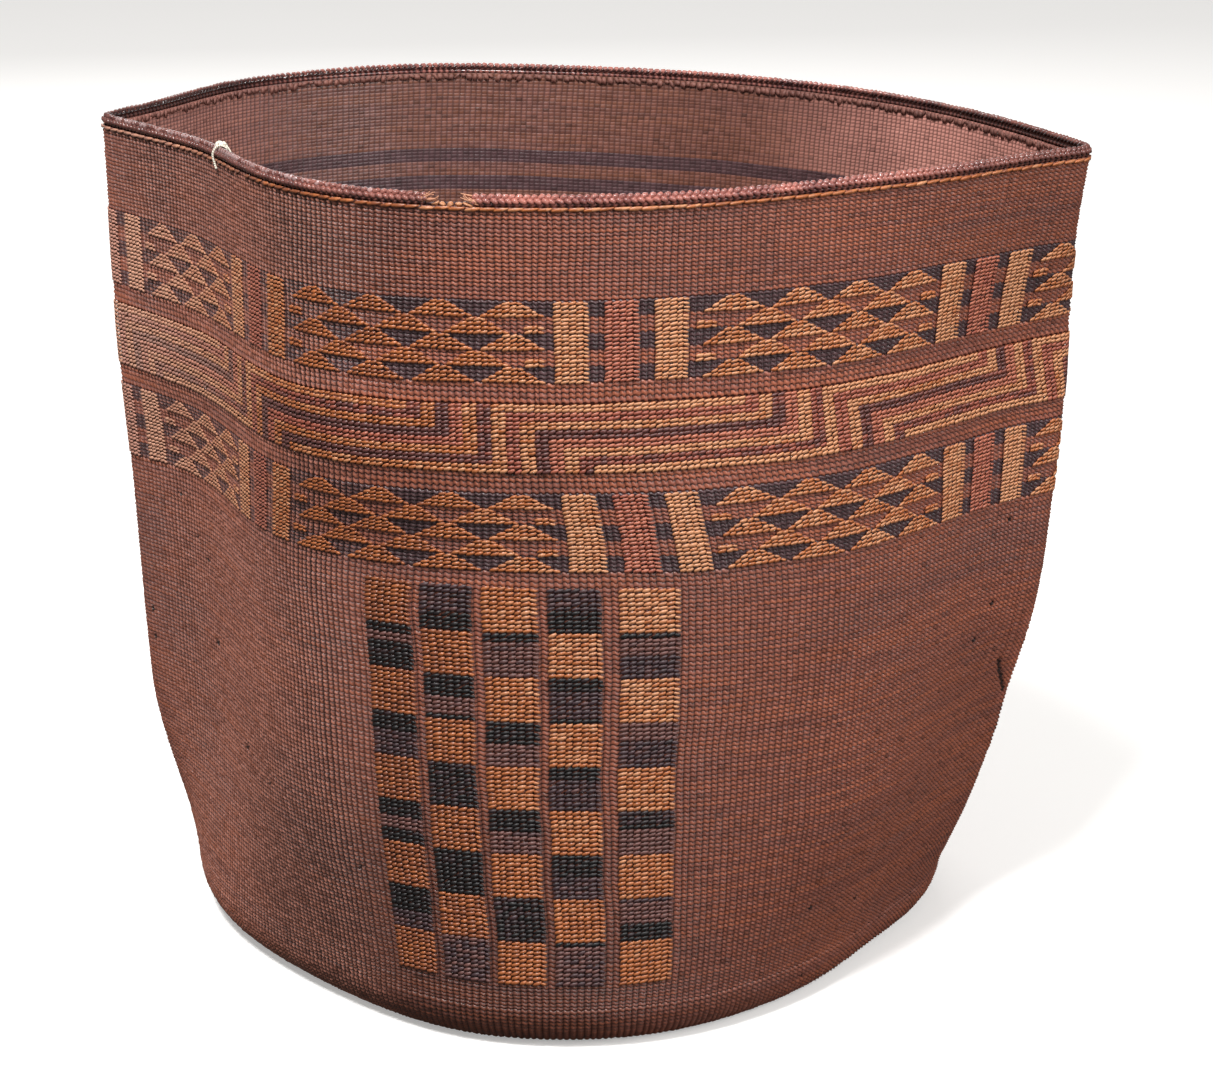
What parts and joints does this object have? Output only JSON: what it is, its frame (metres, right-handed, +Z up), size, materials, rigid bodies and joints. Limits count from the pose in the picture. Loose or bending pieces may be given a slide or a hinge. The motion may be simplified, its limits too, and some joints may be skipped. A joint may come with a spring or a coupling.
{
  "type": "twined spruce root basket",
  "caption": "Open twined root basket with a flat base, folded corners, two bands of bars and triangles, a stepped line between them and a panel of checks.",
  "frame": {"origin": "centre of the bounding box on the floor that the base rests on", "axes": "+X from the left fold corner to the right one as seen from the check panel's side, +Y from that side to the back, +Z up"},
  "size_m": [0.31, 0.253, 0.269],
  "materials": {
    "root": "twined split root, matt with a dull sheen on each stitch",
    "dyed_root": "dark dyed root rows, matt",
    "rim_root": "braided root, dull sheen",
    "straw": "split grass stem, satin",
    "red_grass": "dyed grass stem, satin",
    "black_grass": "dyed stem, satin",
    "thread": "cotton thread, matt"
  },
  "bodies": {
    "root": {"base_start": "root", "base_wefts": "root", "heel_wefts": "root", "lower_field_wefts": "root", "lower_band_wefts": "dyed_root", "lower_plain_course": "root", "meander_wefts": "root", "upper_plain_course": "root", "upper_band_wefts": "dyed_root", "upper_field_wefts": "root", "warp_foundation": "root", "rim_binding": "rim_root", "rim_turned_warp_ends": "rim_root", "rim_grass_row": "straw", "rim_thread": "thread", "meander_embroidery": "straw", "lower_band_bars_1": "red_grass", "lower_band_triangles_1": "straw", "lower_band_bars_2": "red_grass", "lower_band_triangles_2": "straw", "lower_band_bars_3": "red_grass", "lower_band_triangles_3": "straw", "lower_band_bars_4": "red_grass", "lower_band_triangles_4": "straw", "lower_band_bars_5": "red_grass", "lower_band_triangles_5": "straw", "lower_band_bars_6": "red_grass", "lower_band_triangles_6": "straw", "lower_band_bars_7": "red_grass", "lower_band_triangles_7": "straw", "upper_band_bars_1": "red_grass", "upper_band_triangles_1": "straw", "upper_band_bars_2": "red_grass", "upper_band_triangles_2": "straw", "upper_band_bars_3": "red_grass", "upper_band_triangles_3": "straw", "upper_band_bars_4": "red_grass", "upper_band_triangles_4": "straw", "upper_band_bars_5": "red_grass", "upper_band_triangles_5": "straw", "upper_band_bars_6": "red_grass", "upper_band_triangles_6": "straw", "upper_band_bars_7": "red_grass", "upper_band_triangles_7": "straw", "check_column_1": "black_grass", "check_column_2": "black_grass", "check_column_3": "black_grass", "check_column_4": "black_grass", "check_column_5": "black_grass"}
  },
  "joints": []
}
